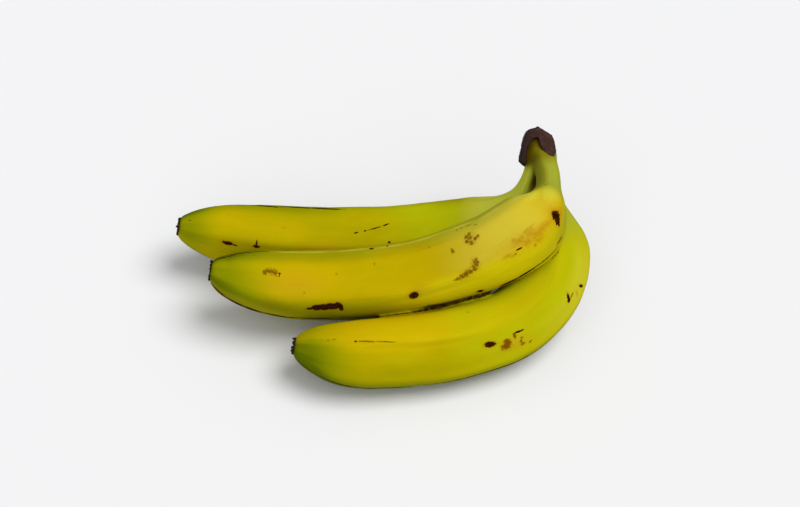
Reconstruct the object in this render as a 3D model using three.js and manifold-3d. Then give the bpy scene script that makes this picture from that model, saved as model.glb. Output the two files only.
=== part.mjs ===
// A hand of three plantains, cut from the bunch with its crown still on. Millimetres, +Z up.
//
// The three fingers and the crown grew as one piece of fruit, so they are one solid. Each finger is
// a five-ridged body swept along its own curved spine, from its neck in the crown out to the blunt
// blossom end. The hand lies on a flat surface on the bellies of its back and front fingers, with
// the middle finger nested above them and the crown raised at the stalk end.
import * as THREE from 'three';
import { mergeVertices } from 'three/addons/utils/BufferGeometryUtils.js';
import Module from 'manifold-3d';

// Driving dimensions.
const BELLY_RADIUS = 20; // from the spine of a full finger out to the middle of its faces
const NECK_RADIUS = 5.8; // the stalk that joins a finger to the crown
const BLOSSOM_RADIUS = 5.2; // the blunt end, where the flower dropped off
const RIDGES = 5; // a plantain is five-sided
const RIDGE_SHARPNESS = 0.4; // 0 is a round finger, 1 a flat-sided one
const CROWN_SQUARENESS = 0.8; // of a crown lobe: 1 is an ellipsoid, 0 a box
const BEARING_FLAT = 0.6; // how far the weight presses the bellies flat where they rest

// Mesh fineness: facets round a finger, four to each face, and rings along it.
const SIDES = 4 * RIDGES;
const RINGS = 36;
const END_CROWDING = 0.05; // how much closer the rings stand at the two ends

// The side that the hand shows to someone looking down on its front. Ridges are set out from it.
const OUTWARD = new THREE.Vector3(0, -0.643, 0.766);

// Each spine runs from the crown to the blossom end. girth scales the belly, shoulder is where
// along the spine, from the crown, the neck starts to swell and where it has its full girth, taper
// is how far the narrowing of the blossom end reaches, and ridge is the angle from the outward
// side, up and over the finger, to its first ridge.
const FINGERS = [
  {
    name: 'back',
    spine: [
      [90.5, 51, 87.5], [89, 45, 75.5], [84, 39, 59], [71.5, 39.5, 38.5], [58.5, 41.5, 28],
      [41, 42.5, 22], [10.5, 41.5, 20], [-50.5, 39, 23], [-103, 37.1, 32.7], [-122.5, 36.2, 37.7],
    ],
    girth: 1.05,
    shoulder: [12, 78],
    taper: 25,
    ridge: -14,
  },
  {
    name: 'middle',
    spine: [
      [92, 50.5, 91], [95.3, 39.6, 83.5], [96.8, 31.5, 80], [95.8, 22.2, 79], [92, 13.2, 77.6],
      [84.6, 6.4, 74.5], [74, 1.3, 69], [64.5, -1.5, 63.5], [45, -2.5, 52.5], [10.5, -4.5, 40],
      [-48, -5, 34.5], [-88.5, -2.1, 40.3], [-98.8, -1.2, 43.3],
    ],
    girth: 1.02,
    shoulder: [17, 54],
    taper: 20,
    ridge: 42,
  },
  {
    name: 'front',
    spine: [
      [92, 53, 88], [96, 40, 67], [101, 18.5, 43], [98.5, 6.5, 35], [90.5, -7, 29.5],
      [76, -20.5, 25], [56.5, -31, 22], [33.5, -38.5, 20.5], [-17, -44.5, 21.5], [-34.5, -44, 23],
      [-50.5, -43, 25],
    ],
    girth: 1.04,
    shoulder: [24, 66],
    taper: 14.5,
    ridge: 16,
  },
];

// The crown, the lump of stalk that the necks grow from: its middle, and the two lobes of its cut
// side. Each lobe is a rounded block of a size, leaning back with the stalk and turned in it.
const CROWN_LEAN = 40;
const CROWN_LOBES = [
  { at: [89.9, 55.4, 91.4], size: [16, 20, 17.5], turn: 0 },
  { at: [84.2, 52.6, 87.6], size: [7.6, 17, 18.5], turn: -13 },
  { at: [95.5, 51.2, 91.7], size: [9.5, 16, 14.5], turn: 17 },
];

const wasm = await Module();
wasm.setup();

/** A closed three.js geometry as a manifold solid. */
function solidOf(geometry) {
  geometry.deleteAttribute('normal');
  geometry.deleteAttribute('uv');
  const merged = mergeVertices(geometry, 1e-4);
  return new wasm.Manifold(new wasm.Mesh({
    numProp: 3,
    vertProperties: new Float32Array(merged.attributes.position.array),
    triVerts: new Uint32Array(merged.index.array),
  }));
}

/** A manifold solid as a three.js geometry. */
function geometryOf(solid) {
  const mesh = solid.getMesh();
  const geometry = new THREE.BufferGeometry();
  geometry.setAttribute('position', new THREE.BufferAttribute(new Float32Array(mesh.vertProperties), 3));
  geometry.setIndex(new THREE.BufferAttribute(new Uint32Array(mesh.triVerts), 1));
  return geometry;
}

/** Radius of a finger's faces at a distance along its spine from the crown. */
function girthAt(distance, length, finger) {
  const shoulder = THREE.MathUtils.smoothstep(distance, ...finger.shoulder);
  const belly = THREE.MathUtils.lerp(NECK_RADIUS, BELLY_RADIUS * finger.girth, shoulder);
  return THREE.MathUtils.lerp(belly, BLOSSOM_RADIUS, Math.exp((distance - length) / finger.taper));
}

/** How far a five-sided section stands out, at an angle from a ridge, beyond a round one. */
function ridgeAt(angle) {
  const sector = (2 * Math.PI) / RIDGES;
  const fromFace = THREE.MathUtils.euclideanModulo(angle, sector) - sector / 2;
  return THREE.MathUtils.lerp(1, 1 / Math.cos(fromFace), RIDGE_SHARPNESS);
}

/** Where each ring of a finger sits, with its directions out and over, carried without twist. */
function ringsAlong(spine) {
  const rings = [];
  const out = OUTWARD.clone();
  for (let ring = RINGS; ring >= 0; ring -= 1) {
    const even = ring / RINGS;
    const share = even - END_CROWDING * Math.sin(2 * Math.PI * even);
    const tangent = spine.getTangentAt(share);
    out.addScaledVector(tangent, -out.dot(tangent)).normalize();
    rings[ring] = {
      centre: spine.getPointAt(share),
      distance: share * spine.getLength(),
      out: out.clone(),
      over: new THREE.Vector3().crossVectors(tangent, out),
    };
  }
  return rings;
}

/** One finger: a cylinder's vertices laid along the spine, with the ridges, shoulder and taper. */
function makeFinger(finger) {
  const points = finger.spine.map((point) => new THREE.Vector3(...point));
  const spine = new THREE.CatmullRomCurve3(points, false, 'centripetal');
  const rings = ringsAlong(spine);
  const firstRidge = THREE.MathUtils.degToRad(finger.ridge);
  const geometry = new THREE.CylinderGeometry(1, 1, 1, SIDES, RINGS);
  const position = geometry.attributes.position;
  const vertex = new THREE.Vector3();
  for (let i = 0; i < position.count; i += 1) {
    vertex.fromBufferAttribute(position, i);
    const { centre, distance, out, over } = rings[Math.round((vertex.y + 0.5) * RINGS)];
    const fromRidge = Math.atan2(vertex.x, vertex.z);
    const girth = girthAt(distance, spine.getLength(), finger) * ridgeAt(fromRidge);
    const radius = Math.hypot(vertex.x, vertex.z) * girth;
    vertex.copy(centre);
    vertex.addScaledVector(out, radius * Math.cos(fromRidge + firstRidge));
    vertex.addScaledVector(over, radius * Math.sin(fromRidge + firstRidge));
    position.setXYZ(i, vertex.x, vertex.y, vertex.z);
  }
  return solidOf(geometry);
}

/** One lobe of the crown: a sphere squared towards a box. */
function makeLobe({ at, size, turn }) {
  const geometry = new THREE.SphereGeometry(1, 20, 12);
  const position = geometry.attributes.position;
  const squared = (value) => Math.sign(value) * Math.abs(value) ** CROWN_SQUARENESS;
  for (let i = 0; i < position.count; i += 1) {
    position.setXYZ(i, squared(position.getX(i)), squared(position.getY(i)), squared(position.getZ(i)));
  }
  geometry.scale(size[0] / 2, size[1] / 2, size[2] / 2);
  geometry.rotateY(THREE.MathUtils.degToRad(-turn));
  geometry.rotateX(THREE.MathUtils.degToRad(-CROWN_LEAN));
  geometry.translate(...at);
  return solidOf(geometry);
}

/** The whole hand, pressed flat where its bellies rest, with its base centred on the origin. */
function makeHand() {
  const pieces = [...FINGERS.map(makeFinger), ...CROWN_LOBES.map(makeLobe)];
  const grown = pieces.reduce((whole, piece) => whole.add(piece));
  const resting = grown.trimByPlane([0, 0, 1], grown.boundingBox().min[2] + BEARING_FLAT);
  const { min, max } = resting.boundingBox();
  return resting.translate([-(min[0] + max[0]) / 2, -(min[1] + max[1]) / 2, -min[2]]);
}

const peel = new THREE.MeshStandardMaterial({ color: 0xc3b41c, roughness: 0.5, metalness: 0 });
const hand = new THREE.Mesh(geometryOf(makeHand()), peel);
hand.name = 'plantain_hand';

const model = new THREE.Group();
model.add(hand);

export default model;
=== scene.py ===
"""A hand of three ripening plantains on one crown, dressed around its CAD solid."""
import logging
import math
from dataclasses import dataclass
from enum import Enum
from typing import Any

import bmesh
import bpy
import numpy as np
from bpy.types import Material, Node, NodeSocket, NodeTree, Object
from mathutils import Matrix, Vector


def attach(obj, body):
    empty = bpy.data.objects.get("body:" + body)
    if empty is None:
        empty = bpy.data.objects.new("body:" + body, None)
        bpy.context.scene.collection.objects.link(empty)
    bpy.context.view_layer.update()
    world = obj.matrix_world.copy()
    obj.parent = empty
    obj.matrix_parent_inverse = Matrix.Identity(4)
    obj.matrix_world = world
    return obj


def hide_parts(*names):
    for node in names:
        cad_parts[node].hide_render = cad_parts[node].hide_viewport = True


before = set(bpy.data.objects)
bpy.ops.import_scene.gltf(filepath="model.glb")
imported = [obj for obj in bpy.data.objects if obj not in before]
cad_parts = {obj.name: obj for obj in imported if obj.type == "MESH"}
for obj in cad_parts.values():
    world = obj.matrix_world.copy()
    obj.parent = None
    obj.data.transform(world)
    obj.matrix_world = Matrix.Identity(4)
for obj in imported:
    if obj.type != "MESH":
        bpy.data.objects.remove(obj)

Point = tuple[float, float, float]
Colour = tuple[float, float, float, float]
Fade = tuple[float, ...]                     # where a fade starts and ends, then what it gives

LOG = logging.getLogger("plantain")
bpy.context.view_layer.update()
MM = 0.001
ORIGIN_SHIFT = Vector((0.91, 0.07, 1.21))    # mm, from the routes' own origin to the frame's
OUTWARD = Vector((0.0, -0.643, 0.766))       # the side of every finger that faces the viewer
RIDGES = 5
RIDGE_STEP = 2 * math.pi / RIDGES
FACET_BLEND = 0.20                           # share of a facet over which its tone fades out
FINGER_SIDES = 30
STUB_CREST = 0.62
RING_CROWDING = 0.05                         # how much closer rings stand at a finger's ends
ARC_RADIUS = 20.0                            # mm, turns an angle into a width on the skin's map
FINGER_STRIP = 0.2                           # m, how far apart the fingers lie on that map
SPAN_STEPS = 60                              # how many samples run from knot to knot
STATION_STEP = 0.5                           # mm, the spacing that stations are picked from
SKIN_STEP = 1.0                              # mm, the spacing that the skin is mapped by
SKIN_BLOCK = 8000                            # how many points of the skin are mapped at once
BODY = "root"
NODE = "plantain_hand"
UV_MAP = "peel"
RING_COORDS = "finger_coords"                # metres from the blossom end, cosine, sine
ZONE_COORDS = "finger_zones"                 # neck, ridge crest, rub marks with painted shade between fingers, each from 0 to 1
SKIN_TONE = "skin_tone"                      # ripeness of the facet, painted highlight on shoulders and necks, freshness
SKIN_GLOW = "skin_glow"                      # buttery brightness, crown olive with painted neck shade, painted slit shade and brown by the callus


# ---------------------------------------------------------------- small helpers

def shade(red: int, green: int, blue: int) -> Colour:
    """Turns a display colour into a shader's.

    Args:
        red, green, blue: the display's levels, from 0 to 255.
    Returns:
        The linear colour, opaque.
    """
    parts = (level / 255 for level in (red, green, blue))
    return (*(part / 12.92 if part <= 0.04045 else ((part + 0.055) / 1.055) ** 2.4
              for part in parts), 1.0)


def lerp(start: float, end: float, share: float) -> float:
    """Returns the value a share of the way from start to end."""
    return start + (end - start) * share


def ramp(values: Any, zero: Any, one: Any) -> Any:
    """Returns 0 for values at zero, 1 for those at one, and a straight change between."""
    return np.clip((values - zero) / (one - zero), 0, 1)


def ease(values: Any, zero: Any = 0.0, one: Any = 1.0) -> Any:
    """Returns the same as ramp, smoothed at both ends."""
    share = ramp(values, zero, one)
    return share * share * (3 - 2 * share)


def drop_selection() -> None:
    """Leaves edit mode and deselects everything."""
    if bpy.context.object and bpy.context.object.mode != "OBJECT":
        bpy.ops.object.mode_set(mode="OBJECT")
    bpy.ops.object.select_all(action="DESELECT")


def settle(piece: Object) -> None:
    """Puts a piece's place, turn and scale into its mesh, with the piece alone selected.

    Args:
        piece: the mesh object.
    """
    drop_selection()
    piece.select_set(True)
    bpy.context.view_layer.objects.active = piece
    bpy.ops.object.transform_apply(location=True, rotation=True, scale=True)


def primitive(kind: str, **settings: Any) -> Object:
    """Adds a primitive where it belongs.

    Args:
        kind: its operator in bpy.ops.mesh, less "primitive_" and "_add".
        settings: the operator's settings.
    Returns:
        The new object, settled.
    """
    drop_selection()
    getattr(bpy.ops.mesh, f"primitive_{kind}_add")(**settings)
    settle(bpy.context.object)
    return bpy.context.object


def finish_with(piece: Object, kind: str, **settings: Any) -> None:
    """Adds a modifier to a piece and applies it.

    Args:
        piece: the mesh object.
        kind: the modifier's type.
        settings: its properties.
    """
    settle(piece)
    bpy.ops.object.modifier_add(type=kind)
    modifier = piece.modifiers[-1]
    for key, value in settings.items():
        setattr(modifier, key, value)
    bpy.ops.object.modifier_apply(modifier=modifier.name)


def soften(piece: Object) -> None:
    """Rounds a coarse form."""
    finish_with(piece, "SUBSURF", levels=2, render_levels=2)


def squared_ball(squareness: float, size: Point, at: Vector, turn: Matrix) -> Object:
    """Makes a ball pressed towards a box.

    Args:
        squareness: 0 for a ball, 1 for a box.
        size: its width, depth and height in mm.
        at: its centre in metres.
        turn: how it is turned.
    Returns:
        The ball, settled.
    """
    ball = primitive("uv_sphere", segments=32, ring_count=20, radius=0.5)
    finish_with(ball, "CAST", cast_type="CUBOID", factor=squareness)
    ball.scale = Vector(size) * MM
    ball.rotation_euler = turn.to_euler()
    ball.location = at
    settle(ball)
    return ball


def join(pieces: list[Object], name: str) -> Object:
    """Joins mesh objects into the first one and names it.

    Args:
        pieces: the objects.
        name: the name of the joined object.
    Returns:
        The joined object.
    """
    drop_selection()
    for piece in pieces:
        piece.select_set(True)
    bpy.context.view_layer.objects.active = pieces[0]
    bpy.ops.object.join()
    pieces[0].name = pieces[0].data.name = name
    return pieces[0]


@dataclass(frozen=True)
class Lumps:
    """A swell of a surface, from a cloud texture: the size of its grain and its depth, in m."""

    name: str
    grain: float
    depth: float

    def raise_on(self, piece: Object) -> None:
        """Displaces a piece.

        Args:
            piece: the mesh object.
        """
        texture = bpy.data.textures.new(self.name, "CLOUDS")
        texture.noise_scale = self.grain
        texture.noise_depth = 2
        finish_with(piece, "DISPLACE", texture=texture, texture_coords="GLOBAL",
                    strength=self.depth, mid_level=0.5)


def grow_together(piece: Object, voxel: float, rounds: int, lumps: tuple[Lumps, ...]) -> None:
    """Makes one closed skin of joined forms.

    Args:
        piece: the joined forms.
        voxel: how fine the skin's grid is, in metres.
        rounds: how often it is smoothed.
        lumps: its swells.
    """
    finish_with(piece, "REMESH", mode="VOXEL", voxel_size=voxel, adaptivity=0.0)
    if rounds:
        finish_with(piece, "SMOOTH", factor=0.5, iterations=rounds)
    for lump in lumps:
        lump.raise_on(piece)


def dress(piece: Object, finish: Material) -> Object:
    """Gives a piece its material.

    Args:
        piece: the mesh object.
        finish: the material.
    Returns:
        The piece, smoothly shaded.
    """
    piece.data.materials.append(finish)
    piece.data.shade_smooth()
    return piece


def read(items: Any, name: str, kind: type = int, width: int = 1) -> np.ndarray:
    """Reads one property of all of a mesh's items.

    Args:
        items: the mesh's vertices, corners or faces.
        name: the property.
        kind: the type of its numbers.
        width: how many numbers each item has.
    Returns:
        The numbers, in one row.
    """
    values = np.empty(len(items) * width, kind)
    items.foreach_get(name, values)
    return values


def smooth_route(points: tuple[Point, ...], spacing: float) -> np.ndarray:
    """Threads a centripetal Catmull-Rom curve through points.

    Args:
        points: the points it passes through.
        spacing: the rough distance between the samples.
    Returns:
        Evenly spaced samples, one row each.
    """
    knots = np.array(points, float)
    knots = np.vstack([2 * knots[0] - knots[1], knots, 2 * knots[-1] - knots[-2]])
    share = np.linspace(0, 1, SPAN_STEPS, endpoint=False)[:, None]
    runs = []
    for a, b, c, d in zip(knots, knots[1:], knots[2:], knots[3:]):
        ab, bc, cd = (math.sqrt(np.linalg.norm(q - p)) for p, q in ((a, b), (b, c), (c, d)))
        start = ((b - a) / ab - (c - a) / (ab + bc) + (c - b) / bc) * bc
        end = ((c - b) / bc - (d - b) / (bc + cd) + (d - c) / cd) * bc
        runs.append(b + start * share + (3 * (c - b) - 2 * start - end) * share ** 2
                    + (2 * (b - c) + start + end) * share ** 3)
    curve = np.vstack(runs + [knots[-2][None]])
    reach = np.r_[0, np.cumsum(np.linalg.norm(np.diff(curve, axis=0), axis=1))]
    even = np.linspace(0, reach[-1], max(int(reach[-1] / spacing), 2) + 1)
    return np.stack([np.interp(even, reach, curve[:, k]) for k in range(3)], 1)


# ---------------------------------------------------------------- swept forms

@dataclass(frozen=True)
class Station:
    """One cross-section of a swept form: its centre, its axes and its size."""

    centre: Vector
    axes: Matrix
    across: float
    through: float
    crest: float = 0.0


@dataclass
class Sweep:
    """A closed form extruded ring by ring from one circle, as by hand."""

    name: str
    stations: list[Station]
    sides: int

    def crest_of(self, spot: int, sharpness: float) -> float:
        """Returns the radius factor of a ring vertex, spot steps from its ridge crest."""
        off = spot * 2 * math.pi / self.sides - RIDGE_STEP / 2
        return lerp(1.0, 1 / math.cos(off), sharpness)

    def build(self) -> Object:
        """Extrudes the rings.

        Returns:
            The closed mesh.
        """
        first = self.stations[0]
        piece = primitive("circle", vertices=self.sides, radius=first.across, fill_type="NGON",
                          location=first.centre, rotation=first.axes.to_euler())
        piece.name = piece.data.name = self.name
        bpy.ops.object.mode_set(mode="EDIT")
        bpy.ops.mesh.select_all(action="SELECT")
        if first.through != first.across:
            self.resize(first.centre, 1.0, first.through / first.across)
        self.raise_crests(piece, first, 0.0)
        for here, there in zip(self.stations, self.stations[1:]):
            bpy.ops.mesh.extrude_region_move(
                TRANSFORM_OT_translate={"value": there.centre - here.centre})
            self.turn(there.centre, there.axes @ here.axes.transposed())
            self.resize(there.centre, there.across / here.across, there.through / here.through)
            self.raise_crests(piece, there, here.crest)
        bpy.ops.mesh.select_all(action="SELECT")
        bpy.ops.mesh.normals_make_consistent(inside=False)
        drop_selection()
        return piece

    @staticmethod
    def resize(centre: Vector, across: float, through: float) -> None:
        """Scales the selected ring about its centre, with its own factor along Y."""
        bpy.ops.transform.resize(value=(across, through, across), center_override=centre)

    @staticmethod
    def turn(centre: Vector, rotation: Matrix) -> None:
        """Turns the selected ring about its centre; with no window the sign is reversed.

        Args:
            centre: the ring's centre.
            rotation: how far it turns.
        """
        for axis, angle in zip("XYZ", rotation.to_euler("XYZ")):
            if abs(angle) > 1e-5:
                bpy.ops.transform.rotate(value=-angle, orient_axis=axis,
                                         orient_type="GLOBAL", center_override=centre)

    def raise_crests(self, piece: Object, station: Station, before: float) -> None:
        """Takes the selected ring's ridges from one sharpness to the station's own.

        Args:
            piece: the object in edit mode.
            station: the ring's station.
            before: the sharpness that the ring has now.
        """
        if abs(station.crest - before) < 0.005:
            return
        mesh = bmesh.from_edit_mesh(piece.data)
        ring = [v for v in mesh.verts if v.select]
        into = station.axes.transposed()
        steps = self.sides // RIDGES
        classes: dict[int, list[bmesh.types.BMVert]] = {}
        for vertex in ring:
            flat = into @ (vertex.co - station.centre)
            spot = round(math.atan2(flat.y, flat.x) / (2 * math.pi) * self.sides) % steps
            classes.setdefault(min(spot, steps - spot), []).append(vertex)
        for spot, members in classes.items():
            factor = self.crest_of(spot, station.crest) / self.crest_of(spot, before)
            bpy.ops.mesh.select_all(action="DESELECT")
            for vertex in members:
                vertex.select = True
            mesh.select_flush_mode()
            bpy.ops.transform.resize(value=(factor,) * 3, center_override=station.centre)
        bpy.ops.mesh.select_all(action="DESELECT")
        cap = set(ring)
        next(f for f in mesh.faces if len(f.verts) == self.sides and cap.issuperset(f.verts)
             ).select = True
        mesh.select_flush_mode()
        bmesh.update_edit_mesh(piece.data)


# ---------------------------------------------------------------- the fingers

class Place(Enum):
    """The three fingers, by where they lie in the hand."""

    BACK = 0
    MIDDLE = 1
    FRONT = 2


@dataclass(frozen=True)
class Glow:
    """A soft zone of the skin: between two distances from the neck, round an angle.

    The margins are how far the zone's two ends and its sides fade, in mm and in radians.
    """

    start: float
    end: float
    angle: float
    spread: float
    strength: float = 1.0
    margins: Point = (15.0, 25.0, 0.175)

    def reach(self, neck: np.ndarray, angle: np.ndarray) -> np.ndarray:
        """Finds how strongly points lie in the zone.

        Args:
            neck: the points' distances from the neck, in millimetres.
            angle: their angles from OUTWARD, in radians.
        Returns:
            A share from 0 to 1 for each point.
        """
        near, far, side = self.margins
        swing = np.abs((angle - math.radians(self.angle) + math.pi) % (2 * math.pi) - math.pi)
        spread = math.radians(self.spread)
        return self.strength * ease(ramp(neck, self.start - near, self.start + near)
                                    * ramp(neck, self.end + far, self.end - far)
                                    * ramp(swing, spread + side, spread - side))


@dataclass(frozen=True)
class Finger:
    """One fruit: its route from the crown to the blossom end, and its girth along it.

    Lengths are in millimetres, the ridge angle in degrees from OUTWARD; the swirl is how far
    the ridges turn towards the blossom end. The facets' ripeness starts above that ridge, and
    the tips are what the blossom end takes from it.
    """

    place: Place
    spine: tuple[Point, ...]
    girth: float
    shoulder: tuple[float, float]
    taper: float
    ridge: float
    swirl: float
    facets: tuple[float, float, float, float, float]
    # Where a painted highlight lightens the body and the neck.
    pale: Glow
    fresh: Glow
    bright: Glow
    tips: tuple[float, float, float, float, float]
    tip_reach: tuple[float, float]
    neck_reach: tuple[float, float]
    belly_radius: float = 20.0
    neck_radius: float = 5.8
    blossom_radius: float = 5.2
    swirl_reach: float = 33.0
    crest_belly: float = 0.30
    crest_ends: float = 0.52
    crest_tip: tuple[float, float] = (45, 4)
    crest_neck: tuple[float, float] = (110, 45)

    def radius(self, distance: float, length: float) -> float:
        """Finds the radius of the flats.

        Args:
            distance: how far from the neck.
            length: the finger's length.
        Returns:
            The radius.
        """
        swell = ease(distance, *self.shoulder)
        belly = lerp(self.neck_radius, self.belly_radius * self.girth, swell)
        return lerp(belly, self.blossom_radius, math.exp((distance - length) / self.taper))

    def crest(self, distance: float, length: float) -> float:
        """Returns how sharp the ridges stand at a distance from the neck."""
        ends = max(ease(length - distance, *self.crest_tip), ease(distance, *self.crest_neck))
        return lerp(self.crest_belly, self.crest_ends, ends)

    def ridge_at(self, from_tip: Any) -> Any:
        """Returns the first ridge's angle in radians at distances from the blossom end."""
        return np.radians(self.ridge + self.swirl * np.exp(-np.asarray(from_tip)
                                                           / self.swirl_reach))

    def by_facet(self, values: tuple[float, ...], angle: np.ndarray,
                 from_tip: np.ndarray) -> np.ndarray:
        """Gives points the value of their facet, blended over the ridges.

        Args:
            values: one value for each facet.
            angle: the points' angles from OUTWARD.
            from_tip: their distances from the blossom end.
        Returns:
            One value for each point.
        """
        step = ((angle - self.ridge_at(from_tip)) / RIDGE_STEP) % RIDGES
        facet = step.astype(int) % RIDGES
        given = np.array(values)
        share = step - np.floor(step)
        near, far = (ramp(side, -FACET_BLEND, FACET_BLEND) for side in (share, 1 - share))
        low = given[facet] * near + given[facet - 1] * (1 - near)
        high = given[facet] * far + given[(facet + 1) % RIDGES] * (1 - far)
        return np.where(share > 0.5, high, low)

    def tone(self, angle: np.ndarray, from_tip: np.ndarray) -> np.ndarray:
        """Finds the ripeness that the facets and the blossom end give points.

        Args:
            angle: the points' angles from OUTWARD.
            from_tip: their distances from the blossom end.
        Returns:
            One value for each point.
        """
        return (self.by_facet(self.facets, angle, from_tip)
                - self.by_facet(self.tips, angle, from_tip) * ease(from_tip, *self.tip_reach))

    def samples(self, spacing: float) -> tuple[np.ndarray, np.ndarray, np.ndarray, np.ndarray]:
        """Lays frames without twist along the spine.

        Args:
            spacing: the distance between samples.
        Returns:
            Centres, outward axes, over axes and tangents, one row each.
        """
        centres = smooth_route(self.spine, spacing)
        tangents = np.gradient(centres, axis=0)
        tangents /= np.linalg.norm(tangents, axis=1)[:, None]
        outs = np.zeros_like(centres)
        out = np.array(OUTWARD)
        for i in range(len(centres) - 1, -1, -1):
            out = out - out @ tangents[i] * tangents[i]
            out /= np.linalg.norm(out)
            outs[i] = out
        return centres + np.array(ORIGIN_SHIFT), outs, np.cross(tangents, outs), tangents

    def stations(self, rings: int) -> list[Station]:
        """Lays out the cross-sections, in metres.

        Args:
            rings: how many steps there are between them.
        Returns:
            The stations from the neck to the blossom end.
        """
        centres, outs, overs, tangents = self.samples(STATION_STEP)
        last = len(centres) - 1
        length = last * STATION_STEP
        made = []
        for ring in range(rings + 1):
            even = ring / rings
            at = round((even - RING_CROWDING * math.sin(2 * math.pi * even)) * last)
            distance = at * STATION_STEP
            axes = ridge_axes(outs[at], overs[at], tangents[at],
                              float(self.ridge_at(length - distance)))
            radius = self.radius(distance, length) * MM
            made.append(Station(Vector(centres[at]) * MM, axes, radius, radius,
                                self.crest(distance, length)))
        return made

    def follow(self, points: np.ndarray) -> np.ndarray:
        """Finds where points lie on this finger and what its skin is like there.

        Args:
            points: the points, in millimetres, one row each.
        Returns:
            A row for each value: the gap to the flats, the distances from the blossom end and
            from the neck, the angle from OUTWARD, the ridge crest, and the skin's tone,
            painted highlight, freshness and brightness.
        """
        centres, outs, overs, tangents = self.samples(SKIN_STEP)
        length = float(len(centres) - 1)
        nearest = np.concatenate([
            ((block[:, None, :] - centres[None]) ** 2).sum(2).argmin(1)
            for block in np.array_split(points, len(points) // SKIN_BLOCK + 1)])
        offset = points - centres[nearest]
        neck = nearest + np.clip((offset * tangents[nearest]).sum(1), -1, 1)
        angle = np.arctan2((offset * overs[nearest]).sum(1), (offset * outs[nearest]).sum(1))
        radii = np.array([self.radius(d, length) for d in range(len(centres))])
        along = length - neck
        return np.stack([
            np.linalg.norm(offset, axis=1) - radii[nearest], along, neck, angle,
            0.5 + 0.5 * np.cos(RIDGES * (angle - self.ridge_at(along))),
            self.tone(angle, along),
            *(glow.reach(neck, angle) for glow in (self.pale, self.fresh, self.bright))])


def ridge_axes(out: np.ndarray, over: np.ndarray, tangent: np.ndarray, turn: float) -> Matrix:
    """Turns a frame of the spine to the first ridge.

    Args:
        out, over, tangent: the frame's axes.
        turn: the ridge's angle in radians.
    Returns:
        The turned axes, as columns.
    """
    crest = out * math.cos(turn) + over * math.sin(turn)
    return Matrix((crest, np.cross(tangent, crest), tangent)).transposed()


FINGERS = (
    Finger(Place.BACK, (
        (90.5, 51, 87.5), (88.5, 45, 75.5), (83.2, 39.2, 59.2), (71.2, 39.8, 38.8),
        (58.5, 42.3, 28.4), (41, 44.0, 23), (10.5, 41.5, 20), (-50.5, 39, 23), (-103, 37.7, 33.3),
        (-122.5, 36.9, 38.3)),
        girth=1.05, shoulder=(12, 78), taper=21.5, ridge=-14, swirl=0,
        facets=(-0.08, -0.46, -0.30, -0.22, -0.09),
        pale=Glow(-20, 64, 40, 110), fresh=Glow(-20, 128, 60, 75, 0.9),
        bright=Glow(0, 60, 60, 40, 0.0), tips=(0.42, 0.40, 0.5, 0.5, 0.28), tip_reach=(28, 5),
        neck_reach=(38, 84)),
    Finger(Place.MIDDLE, (
        (92, 50.5, 91), (95.9, 39.6, 83.3), (96.2, 31.5, 79.9), (94.5, 22.2, 79),
        (91.3, 13.2, 77.6), (84.6, 6.4, 74.5), (74, 1.3, 69), (64.5, -1.5, 63.5), (45, -2.5, 52.5),
        (10.5, -4.5, 40), (-48, -5, 34.5), (-88.5, -2.1, 40.3), (-95.6, -1.4, 42.5),
        (-99.6, -1.0, 43.1)),
        girth=1.02, shoulder=(22, 54), taper=19, ridge=42, swirl=6,
        facets=(-0.16, -0.20, -0.12, -0.28, 0.10),
        pale=Glow(45, 92, 20, 40, 0.72), fresh=Glow(20, 110, 75, 38, 0.6),
        bright=Glow(50, 132, -62, 44, 0.9), tips=(0.58, 0.6, 0.6, 0.32, 0.60), tip_reach=(50, 5),
        neck_reach=(27, 39), neck_radius=6.6, blossom_radius=6.1),
    Finger(Place.FRONT, (
        (92, 53, 88), (96, 40, 67), (99.7, 17.6, 41.8), (99.4, 5.5, 34.5), (92.6, -9.0, 28.4),
        (78.3, -23.4, 24.2), (57.4, -32.7, 21.6), (33.5, -39.3, 19.9), (-17, -45.0, 20.8),
        (-34.5, -43.9, 22.9), (-50.5, -42.5, 25.3)),
        girth=1.045, shoulder=(22, 62), taper=16.5, ridge=12.5, swirl=19,
        facets=(0.20, -0.10, -0.16, -0.60, -0.07),
        pale=Glow(62, 96, -52, 40, 0.3), fresh=Glow(-20, 150, -10, 130, 0.68),
        bright=Glow(120, 200, 34, 24, 0.3), tips=(0.40, 0.5, 0.7, 0.68, 0.60), tip_reach=(42, 5),
        neck_reach=(28, 62)),
)


# ---------------------------------------------------------------- marks on the skin

class Kind(Enum):
    """What a mark on the skin is, from the undermost to the topmost."""

    BLUSH = "blush"
    # Painted highlight along a ridge.
    PALE = "pale"
    # Olive, and painted shade in a groove.
    OLIVE_AND_SHADE = "olive_and_shade"
    RUST = "rust"
    BRUISE = "bruise"
    STAIN = "stain"
    SCAB = "scab"


@dataclass(frozen=True)
class Mark:
    """One mark: finger, mm from the blossom end, degrees from OUTWARD, mm long and wide."""

    place: Place
    along: float
    angle: float
    length: float
    width: float
    kind: Kind
    turn: float = 0.0
    ragged: float = 1.0


def marks_on(place: Place, rows: dict[Kind, tuple[tuple[float, ...], ...]]) -> tuple[Mark, ...]:
    """Lists the marks of one finger.

    Args:
        place: the finger.
        rows: by kind, each mark's along, angle, length and width, with its turn and its
            raggedness after them where they differ from the usual.
    Returns:
        The marks.
    """
    return tuple(Mark(place, *row[:4], kind, *row[4:])
                 for kind, marks in rows.items() for row in marks)


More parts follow.
